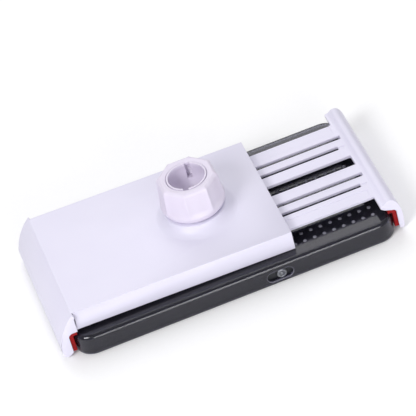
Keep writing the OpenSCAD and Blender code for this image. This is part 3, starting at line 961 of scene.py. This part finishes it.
@dataclass
class JawPad:
    """A ribbed rubber pad: a thin core along the jaw's inside with ribs that run across it."""

    side: Side
    thickness: float = 1.9 * MM
    core: float = 1.15 * MM
    bend_radius: float = 1.15 * MM
    rib_pitch: float = 0.95 * MM
    rib_gap: float = 0.2 * MM
    foot_gap: float = 0.8 * MM
    back_gap: float = 0.1 * MM
    core_inset: float = 0.5 * MM
    rib_edge: float = 0.12 * MM

    def route(self) -> list[Point]:
        """The pad's middle line, from the roof's edge round the bend and down to its foot."""
        node, _, sign = self.side.value
        low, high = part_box(node)
        outer = high.x if sign > 0 else low.x
        upright = outer - sign * self.thickness / 2
        roof_z = high.z - self.thickness / 2
        edge = low.x if sign > 0 else high.x
        bend = arc((0.0, roof_z - self.bend_radius), self.bend_radius, 90, 0, 8)
        corner = upright - sign * self.bend_radius
        line = [(edge + sign * self.rib_gap, 0.0, roof_z)]
        line += [(corner + sign * x, 0.0, z) for x, z in bend]
        line.append((upright, 0.0, low.z + self.foot_gap))
        return line

    def ribbing(self, material: bpy.types.Material) -> bpy.types.NodeTree:
        """Geometry tree that lays ribs along a curve, with a core between them.

        Args:
            material: The pad's rubber.

        Returns:
            A tree that reads the pad's middle line as a chain of edges.
        """
        number = "NodeSocketFloat"
        tree, given = geometry_tree("pad_ribbing", {
            "Pitch": number, "Gap": number, "Thickness": number, "Core": number, "Width": number,
            "Core Width": number})
        curve = add_node(tree, "GeometryNodeMeshToCurve", {"Mesh": given.outputs["Geometry"]})
        spots = add_node(tree, "GeometryNodeCurveToPoints",
                         {"Curve": curve.outputs["Curve"], "Length": given.outputs["Pitch"]}, mode="LENGTH")
        long_side = math_node(tree, "SUBTRACT", given.outputs["Pitch"], given.outputs["Gap"])
        rib_size = add_node(tree, "ShaderNodeCombineXYZ", {
            "X": given.outputs["Thickness"], "Y": given.outputs["Width"], "Z": long_side})
        rib = add_node(tree, "GeometryNodeMeshCube", {
            "Size": rib_size.outputs["Vector"], "Vertices X": 4, "Vertices Y": 2, "Vertices Z": 4})
        ribs = add_node(tree, "GeometryNodeInstanceOnPoints", {
            "Points": spots.outputs["Points"], "Instance": rib.outputs["Mesh"]})
        along = add_node(tree, "ShaderNodeSeparateXYZ", {0: spots.outputs["Tangent"]})
        lean = math_node(tree, "ARCTAN2", along.outputs["X"], along.outputs["Z"])
        turn = add_node(tree, "ShaderNodeCombineXYZ", {"Y": lean})
        tree.links.new(turn.outputs["Vector"], ribs.inputs["Rotation"])
        level = add_node(tree, "GeometryNodeSetCurveNormal",
                         {"Curve": curve.outputs["Curve"], "Normal": (0.0, 1.0, 0.0)}, mode="FREE")
        section = add_node(tree, "GeometryNodeCurvePrimitiveQuadrilateral", {
            "Width": given.outputs["Core Width"], "Height": given.outputs["Core"]}, mode="RECTANGLE")
        core = add_node(tree, "GeometryNodeCurveToMesh", {
            "Curve": level.outputs["Curve"], "Profile Curve": section.outputs["Curve"], "Fill Caps": True})
        both = add_node(tree, "GeometryNodeJoinGeometry")
        tree.links.new(core.outputs["Mesh"], both.inputs["Geometry"])
        tree.links.new(ribs.outputs["Instances"], both.inputs["Geometry"])
        close_tree(tree, both.outputs["Geometry"], material)
        return tree

    def build(self, shop: Workshop) -> None:
        """Build and hand over the pad."""
        node, body, _ = self.side.value
        low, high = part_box(node)
        width = high.y - low.y
        route = self.route()
        pad = new_piece(f"ribbed_{node}", route, [])
        pad.data.edges.add(len(route) - 1)
        for index, edge in enumerate(pad.data.edges):
            edge.vertices = (index, index + 1)
        run_geometry(pad, self.ribbing(shop.materials[Slot.JAW_RUBBER]), {
            "Pitch": self.rib_pitch, "Gap": self.rib_gap, "Thickness": self.thickness - self.back_gap,
            "Core": self.core, "Width": width, "Core Width": width - self.core_inset})
        soften(pad, self.rib_edge, 2)
        shop.hand_over(pad, body, Slot.JAW_RUBBER, node)


@dataclass
class ReturnSpring:
    """A coil spring between a pin in the bed plate and a pin in the tongue."""

    node: str
    wire: float = 0.6 * MM
    turns: int = 16
    steps_per_turn: int = 20

    def winding(self, material: bpy.types.Material) -> bpy.types.NodeTree:
        """Geometry tree that winds a wire into a coil along X.

        Args:
            material: The spring's steel.

        Returns:
            A tree whose inputs give the coil's radius, length, turns and place.
        """
        number = "NodeSocketFloat"
        tree, given = geometry_tree("spring_winding", {
            "Turns": number, "Radius": number, "Length": number, "Wire": number, "Steps": "NodeSocketInt",
            "Place": "NodeSocketVector"})
        coil = add_node(tree, "GeometryNodeCurveSpiral", {
            "Resolution": given.outputs["Steps"], "Rotations": given.outputs["Turns"],
            "Start Radius": given.outputs["Radius"], "End Radius": given.outputs["Radius"],
            "Height": given.outputs["Length"]})
        ring = add_node(tree, "GeometryNodeCurvePrimitiveCircle",
                        {"Resolution": 10, "Radius": math_node(tree, "MULTIPLY", given.outputs["Wire"], 0.5)})
        wire = add_node(tree, "GeometryNodeCurveToMesh", {
            "Curve": coil.outputs["Curve"], "Profile Curve": ring.outputs["Curve"], "Fill Caps": True})
        laid = add_node(tree, "GeometryNodeTransform", {
            "Geometry": wire.outputs["Mesh"], "Translation": given.outputs["Place"],
            "Rotation": (0.0, math.pi / 2, 0.0)})
        close_tree(tree, laid.outputs["Geometry"], material)
        return tree

    def build(self, shop: Workshop) -> None:
        """Wind the spring and lay it where the frame's spring was."""
        low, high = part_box(self.node)
        middle = (low + high) / 2
        radius = (high.y - low.y - self.wire) / 2
        start = Vector((low.x + self.wire / 2, middle.y, middle.z))
        length = high.x - low.x - self.wire
        spring = new_piece(f"coil_{self.node}", [(0.0, 0.0, 0.0)], [])
        run_geometry(spring, self.winding(shop.materials[Slot.SPRING]), {
            "Turns": float(self.turns), "Radius": radius, "Length": length, "Wire": self.wire,
            "Steps": self.steps_per_turn, "Place": start})
        outward(spring)
        shade(spring, 60)
        shop.dress(spring, Slot.SPRING)
        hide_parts(self.node)
        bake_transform(spring)
        LOG.info("%s stretches between the holder and the jaw", spring.name)


@dataclass
class ClearCase:
    """The phone's clear case: a rounded tray with a dotted back and an oval opening for the button."""

    body: str = "phone"
    wall: float = 1.3 * MM
    back: float = 1.2 * MM
    corner: float = 8 * MM
    top_round: float = 2.4 * MM
    bottom_round: float = 0.9 * MM
    dot_pitch_x: float = 4.52 * MM
    dot_pitch_y: float = 5.16 * MM
    dot_origin_x: float = 67.0 * MM
    dot_origin_y: float = -26.2 * MM
    dot_radius: float = 0.95 * MM
    dot_height: float = 0.4 * MM
    recess_length: float = 12.4 * MM
    recess_height: float = 5.6 * MM
    recess_shift: float = -0.85 * MM
    bead_radius: float = 0.3 * MM
    bead_sink: float = 0.32 * MM
    bead_depth: float = 0.9
    rim_round: float = 0.35 * MM
    inner_ease: float = 0.4 * MM
    dots_margin: float = 4.2 * MM
    dots_clear: float = 2 * MM
    camera_hole: float = 5 * MM
    camera_reach: float = 3 * MM
    port_reach: float = 3 * MM
    port_half: float = 5.5 * MM
    port_gap: float = 0.6 * MM

    def tray(self) -> bpy.types.Object:
        """The case's wall and back as one closed skin."""
        low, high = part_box("clear_case")
        middle = (low + high) / 2
        length, width, top = high.x - low.x, high.y - low.y, high.z
        inner_round = self.top_round - self.wall + self.inner_ease
        ceiling = top - self.back
        inside = arc((self.wall + inner_round, ceiling - inner_round), inner_round, 90, 180, 6)
        rim = arc((self.wall - self.rim_round, self.rim_round), self.rim_round, 0, -90, 3)
        foot = arc((self.bottom_round, self.bottom_round), self.bottom_round, 270, 180, 5)
        brow = arc((self.top_round, top - self.top_round), self.top_round, 180, 90, 8)
        rows = [rounded_loop(middle, length, width, self.corner, inset, z)
                for inset, z in inside + rim + foot + brow]
        return loops_piece("clear_tpu_case", rows)

    def oval_cutter(self, spot: Vector, depth: float) -> bpy.types.Object:
        """A cutter with round ends that goes through the front wall.

        Args:
            spot: The middle of the opening on the case's outer face.
            depth: How far it cuts along +Y.

        Returns:
            The closed cutter.
        """
        outline = self.oval(self.recess_height / 2)
        rows = [[(spot.x + x, spot.y + y, spot.z + z) for x, z in outline] for y in (-2 * MM, depth)]
        return loops_piece("oval_cutter", rows)

    def oval(self, radius: float) -> list[tuple[float, float]]:
        """Outline (x, z) of the opening with end radius in metres."""
        reach = (self.recess_length - self.recess_height) / 2
        return arc((reach, 0), radius, -90, 90, 14) + arc((-reach, 0), radius, 90, 270, 14)

    def dots_tree(self, material: bpy.types.Material) -> bpy.types.NodeTree:
        """Geometry tree that lays low domes on a grid of points.

        Args:
            material: The case's material.

        Returns:
            A tree with the dots' radius and height as inputs.
        """
        number = "NodeSocketFloat"
        tree, given = geometry_tree("case_dots", {"Radius": number, "Height": number})
        dome = add_node(tree, "GeometryNodeMeshUVSphere", {"Segments": 10, "Rings": 6, "Radius": 1.0})
        size = add_node(tree, "ShaderNodeCombineXYZ", {
            "X": given.outputs["Radius"], "Y": given.outputs["Radius"], "Z": given.outputs["Height"]})
        smooth = add_node(tree, "GeometryNodeSetShadeSmooth", {"Geometry": dome.outputs["Mesh"]})
        dots = add_node(tree, "GeometryNodeInstanceOnPoints", {
            "Points": given.outputs["Geometry"], "Instance": smooth.outputs["Geometry"],
            "Scale": size.outputs["Vector"]})
        close_tree(tree, dots.outputs["Instances"], material)
        return tree

    def build_dots(self, shop: Workshop) -> None:
        """Lay the dots over the flat of the case's back."""
        low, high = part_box("clear_case")
        camera_low, camera_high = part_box("camera_module")
        margin = self.dots_margin
        first_x = self.dot_origin_x - self.dot_pitch_x * math.floor(
            (self.dot_origin_x - low.x - margin) / self.dot_pitch_x)
        first_y = self.dot_origin_y - self.dot_pitch_y * math.floor(
            (self.dot_origin_y - low.y - margin) / self.dot_pitch_y)
        columns = math.floor((high.x - margin - first_x) / self.dot_pitch_x) + 1
        rows = math.floor((high.y - margin - first_y) / self.dot_pitch_y) + 1
        spots = [(first_x + i * self.dot_pitch_x, first_y + j * self.dot_pitch_y, high.z)
                 for i in range(columns) for j in range(rows)]
        clear = self.dots_clear
        spots = [p for p in spots if not (camera_low.x - clear < p[0] < camera_high.x + clear
                                          and camera_low.y - clear < p[1] < camera_high.y + clear)]
        dots = new_piece("case_dots", spots, [])
        run_geometry(dots, self.dots_tree(shop.materials[Slot.CASE]),
                     {"Radius": self.dot_radius, "Height": self.dot_height})
        # The dots' paler tint is painted highlight, standing in for the light their domes catch.
        painted_highlight(dots)
        shop.hand_over(dots, self.body, Slot.CASE)

    def build(self, shop: Workshop) -> None:
        """Build and hand over the case, its dots and the bead round its opening."""
        low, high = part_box("clear_case")
        button_low, button_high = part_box("side_button")
        camera_low, camera_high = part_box("camera_module")
        middle = (button_low + button_high) / 2
        spot = Vector((middle.x + self.recess_shift, low.y, middle.z))
        case = self.tray()
        camera_middle = (camera_low + camera_high) / 2
        camera_middle.z = high.z - self.camera_reach
        hole = hole_cutter("camera_cutter", self.camera_hole, 0, 5 * MM, camera_middle)
        port = port_cutter("port_cutter", high.x - self.port_reach, high.x + self.port_reach,
                           self.port_half, self.port_gap)
        cut(case, [self.oval_cutter(spot, self.wall + 1 * MM), hole, port])
        shade(case, 40)
        shop.hand_over(case, self.body, Slot.CASE, "clear_case")
        self.build_dots(shop)
        self.build_bead(shop, spot)

    def build_bead(self, shop: Workshop, spot: Vector) -> None:
        """Lay a fine bead round the oval opening.

        Args:
            shop: The workshop.
            spot: The middle of the opening on the case's outer face.
        """
        middle_radius = self.recess_height / 2
        section = arc((0, 0), self.bead_radius, 0, 324, 9)
        rows = []
        for (x, z), (x1, z1) in zip(self.oval(middle_radius), self.oval(middle_radius + 1 * MM)):
            out = Vector((x1 - x, 0, z1 - z)).normalized()
            rows.append([(spot.x + x + out.x * a, spot.y + self.bead_sink + b * self.bead_depth,
                          spot.z + z + out.z * a) for a, b in section])
        bead = loops_piece("opening_bead", rows, closed=True)
        shade(bead, 60)
        # The bead's paler tint is painted highlight, standing in for the bright edge of the opening.
        painted_highlight(bead)
        shop.hand_over(bead, self.body, Slot.CASE)


@dataclass
class Phone:
    """The phone in the case: glass back with curved edges, painted frame, screen and what is inside."""

    body: str = "phone"
    corner: float = 6.6 * MM
    rim: float = 2.4 * MM
    shoulder: float = 0.45 * MM
    cover_curve: float = 1.9 * MM
    cover_lip: float = 0.12 * MM
    cover_gap: float = 0.1 * MM
    chin: float = 1.0 * MM
    seat_gap: float = 0.05 * MM
    bore_gap: float = 0.12 * MM
    bore_start: float = -2 * MM
    bore_end: float = 4.5 * MM
    port_half: float = 4.75 * MM
    port_gap: float = 0.1 * MM
    lens_gap: float = 0.4 * MM
    lens_reach: float = 3 * MM
    glass_edge: float = 0.3 * MM

    def frame_piece(self) -> bpy.types.Object:
        """The frame: a rounded rim on both sides of a thin web."""
        low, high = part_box("mid_frame")
        middle = (low + high) / 2
        length, width = high.x - low.x, high.y - low.y
        panel_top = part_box("display_panel")[1].z
        bay_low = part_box("battery")[0].z
        outline = [(self.rim, panel_top + self.seat_gap), (self.rim, low.z), (self.chin, low.z)]
        outline += arc((self.chin, low.z + self.chin), self.chin, 270, 180, 5)[1:]
        outline += arc((self.shoulder, high.z - self.shoulder), self.shoulder, 180, 90, 6)
        outline += [(self.rim, high.z), (self.rim, bay_low - self.seat_gap)]
        rows = [rounded_loop(middle, length, width, self.corner, inset, z) for inset, z in outline]
        return loops_piece("phone_frame", rows)

    def cover_piece(self) -> bpy.types.Object:
        """The glass back: flat in the middle and falling to the frame at its edges."""
        low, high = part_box("back_cover")
        middle = (low + high) / 2
        length, width = high.x - low.x, high.y - low.y
        drop = high.z - low.z
        edge = [(self.shoulder + (self.cover_curve - self.shoulder) * (1 - math.cos(a)),
                 low.z + self.cover_lip + (drop - self.cover_lip) * math.sin(a))
                for a in (math.pi / 2 * k / 8 for k in range(9))]
        outline = [(self.shoulder + self.cover_gap, low.z)] + edge
        rows = [rounded_loop(middle, length, width, self.corner, inset, z) for inset, z in outline]
        return loops_piece("glass_back", rows)

    def build(self, shop: Workshop) -> None:
        """Build and hand over the phone's pieces."""
        button_low, button_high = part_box("side_button")
        port_low, port_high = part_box("charge_port")
        frame_piece = self.frame_piece()
        bore = (button_high.z - button_low.z) / 2 + self.bore_gap
        hole = hole_cutter("button_cutter", bore, self.bore_start, self.bore_end, Vector((0, 0, 0)), 40)
        middle = (button_low + button_high) / 2
        hole.data.transform(Matrix.Translation((middle.x, button_low.y, middle.z))
                            @ Matrix.Rotation(-math.pi / 2, 4, "X"))
        socket = port_cutter("socket_cutter", port_low.x - 1 * MM, port_high.x + 2 * MM,
                             self.port_half, self.port_gap)
        cut(frame_piece, [hole, socket])
        shade(frame_piece, 35)
        shop.hand_over(frame_piece, self.body, Slot.FRAME, "mid_frame")
        cover = self.cover_piece()
        camera_low, camera_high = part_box("camera_module")
        camera_middle = (camera_low + camera_high) / 2
        camera_middle.z = camera_high.z - self.lens_reach
        radius = (camera_high.x - camera_low.x) / 2 - self.lens_gap
        cut(cover, [hole_cutter("lens_cutter", radius, 0, 5 * MM, camera_middle)])
        shade(cover, 35)
        shop.hand_over(cover, self.body, Slot.COVER, "back_cover")
        shop.softened_node("display_glass", "screen_glass", self.body, Slot.SCREEN, self.glass_edge, 3)
        inside = {"display_panel": Slot.SCREEN, "battery": Slot.CELL, "main_board": Slot.BOARD,
                  "camera_module": Slot.COVER, "speaker": Slot.FRAME, "charge_port": Slot.STEEL}
        for node, slot in inside.items():
            shop.keep_node(node, slot)


@dataclass
class SideButton:
    """The round button: a domed ring round a small raised centre."""

    body: str = "power_button"
    ring_inner: float = 1.25 * MM
    ring_round: float = 0.5 * MM
    ring_ease: float = 0.1 * MM
    ring_shelf: float = 0.15 * MM
    groove: float = 0.5 * MM
    groove_inner: float = 0.9 * MM
    centre_reach: float = 0.5 * MM
    centre_drop: float = 0.45 * MM
    centre_round: float = 0.35 * MM
    centre_dish: float = 0.08 * MM

    def build(self, shop: Workshop) -> None:
        """Turn the button and hand it over."""
        low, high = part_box("side_button")
        radius = (high.z - low.z) / 2
        depth = high.y - low.y
        outline = [(0, 0), (radius, 0)]
        outline += arc((radius - self.ring_round, depth - self.ring_round), self.ring_round, 0, 90, 5)
        outline += [(self.ring_inner + self.ring_shelf, depth),
                    (self.ring_inner, depth - self.ring_ease),
                    (self.ring_inner - self.ring_ease, depth - self.groove),
                    (self.groove_inner, depth - self.groove)]
        outline += arc((self.centre_reach, depth - self.centre_drop), self.centre_round, 0, 90, 4)
        outline.append((0, depth - self.centre_dish))
        button = lathe("round_button", outline, Vector((0, 0, 0)), 48)
        middle = (low + high) / 2
        button.data.transform(Matrix.Translation((middle.x, high.y, middle.z))
                              @ Matrix.Rotation(math.pi / 2, 4, "X"))
        shade(button, 40)
        shop.hand_over(button, self.body, Slot.BUTTON, "side_button")


# ---------------------------------------------------------------------------------------------------------
# Studio
# ---------------------------------------------------------------------------------------------------------
@dataclass
class Studio:
    """Pale floor, soft lights and the camera."""

    floor_size: float = 12.0
    floor_colour: str = "#FFFFFF"
    lens: float = 244.8
    sensor: float = 36.0
    distance: float = 1.2622
    elevation_deg: float = 40.717
    heading_deg: float = 7.771
    roll_deg: float = 15.95
    aim: Point = (6.22 * MM, 23.43 * MM, 0.0)
    sky: float = 0.44
    floor_drop: float = 0.05 * MM
    lights: tuple[tuple[str, Point, float, float], ...] = (
        ("key_softbox", (-1.0, -0.85, 1.1), 0.7, 13.5),
        ("overhead_softbox", (0.5, 0.3, 1.9), 1.2, 5.0),
        ("front_strip", (0.2, -1.6, 0.4), 0.9, 9.0),
        ("rear_softbox", (0.17, 1.27, 1.11), 1.5, 9.0),
    )

    def build_floor(self) -> None:
        """Lay the floor just under the object."""
        half = self.floor_size / 2
        floor = new_piece("floor", [(-half, -half, 0), (half, -half, 0), (half, half, 0), (-half, half, 0)],
                          [(0, 1, 2, 3)])
        floor.data.transform(Matrix.Translation((0, 0, -self.floor_drop)))
        material = bpy.data.materials.new("paper_white")
        material.use_nodes = True
        tree = material.node_tree
        shader = tree.nodes["Principled BSDF"]
        shader.inputs["Roughness"].default_value = 0.9
        place = add_node(tree, "ShaderNodeTexCoord")
        fibre = grain(tree, place.outputs["Object"], 2 * MM).outputs["Fac"]
        tree.links.new(tint(tree, fibre, self.floor_colour, "#FCFCFC"), shader.inputs["Base Color"])
        floor.data.materials.append(material)

    def build_lights(self) -> None:
        """Hang the softboxes and set the sky."""
        for name, spot, size, power in self.lights:
            lamp = bpy.data.lights.new(name, "AREA")
            lamp.shape = "DISK"
            lamp.size = size
            lamp.energy = power
            box = bpy.data.objects.new(name, lamp)
            box.location = spot
            box.rotation_euler = (-Vector(spot)).to_track_quat("-Z", "Y").to_euler()
            bpy.context.scene.collection.objects.link(box)
        world = bpy.data.worlds.new("white_room")
        world.use_nodes = True
        back = world.node_tree.nodes["Background"]
        back.inputs["Color"].default_value = linear("#FBFBFF")
        back.inputs["Strength"].default_value = self.sky
        bpy.context.scene.world = world

    def build_camera(self) -> None:
        """Set the camera at the product view."""
        tilt, turn, roll = (math.radians(v) for v in (self.elevation_deg, self.heading_deg, self.roll_deg))
        forward = Vector((math.sin(turn) * math.cos(tilt), math.cos(turn) * math.cos(tilt), -math.sin(tilt)))
        level = Vector((math.cos(turn), -math.sin(turn), 0))
        upright = level.cross(forward)
        right = math.cos(roll) * level - math.sin(roll) * upright
        up = math.sin(roll) * level + math.cos(roll) * upright
        lens = bpy.data.cameras.new("product_camera")
        lens.lens = self.lens
        lens.sensor_width = self.sensor
        lens.clip_end = 50
        camera = bpy.data.objects.new("product_camera", lens)
        place = Vector(self.aim) - forward * self.distance
        camera.matrix_world = Matrix((right, up, -forward)).transposed().to_4x4()
        camera.location = place
        bpy.context.scene.collection.objects.link(camera)
        bpy.context.scene.camera = camera

    def build(self) -> None:
        """Build the whole studio."""
        bpy.context.scene.view_settings.view_transform = "Standard"
        self.build_camera()
        self.build_floor()
        self.build_lights()


def main() -> None:
    """Build the clamp and the phone round the frame, then the studio."""
    logging.basicConfig(level=logging.INFO, format="%(name)s: %(message)s")
    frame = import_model()
    shop = Workshop(frame)
    Studio().build()
    parts = [HolderShell(), BallCollar(), LockNut(), SlidingJaw(), JawPad(Side.FIXED), JawPad(Side.SLIDING),
             ReturnSpring("spring_front"), ReturnSpring("spring_rear"), ClearCase(), Phone(), SideButton()]
    for part in parts:
        part.build(shop)


if __name__ == "__main__":
    main()
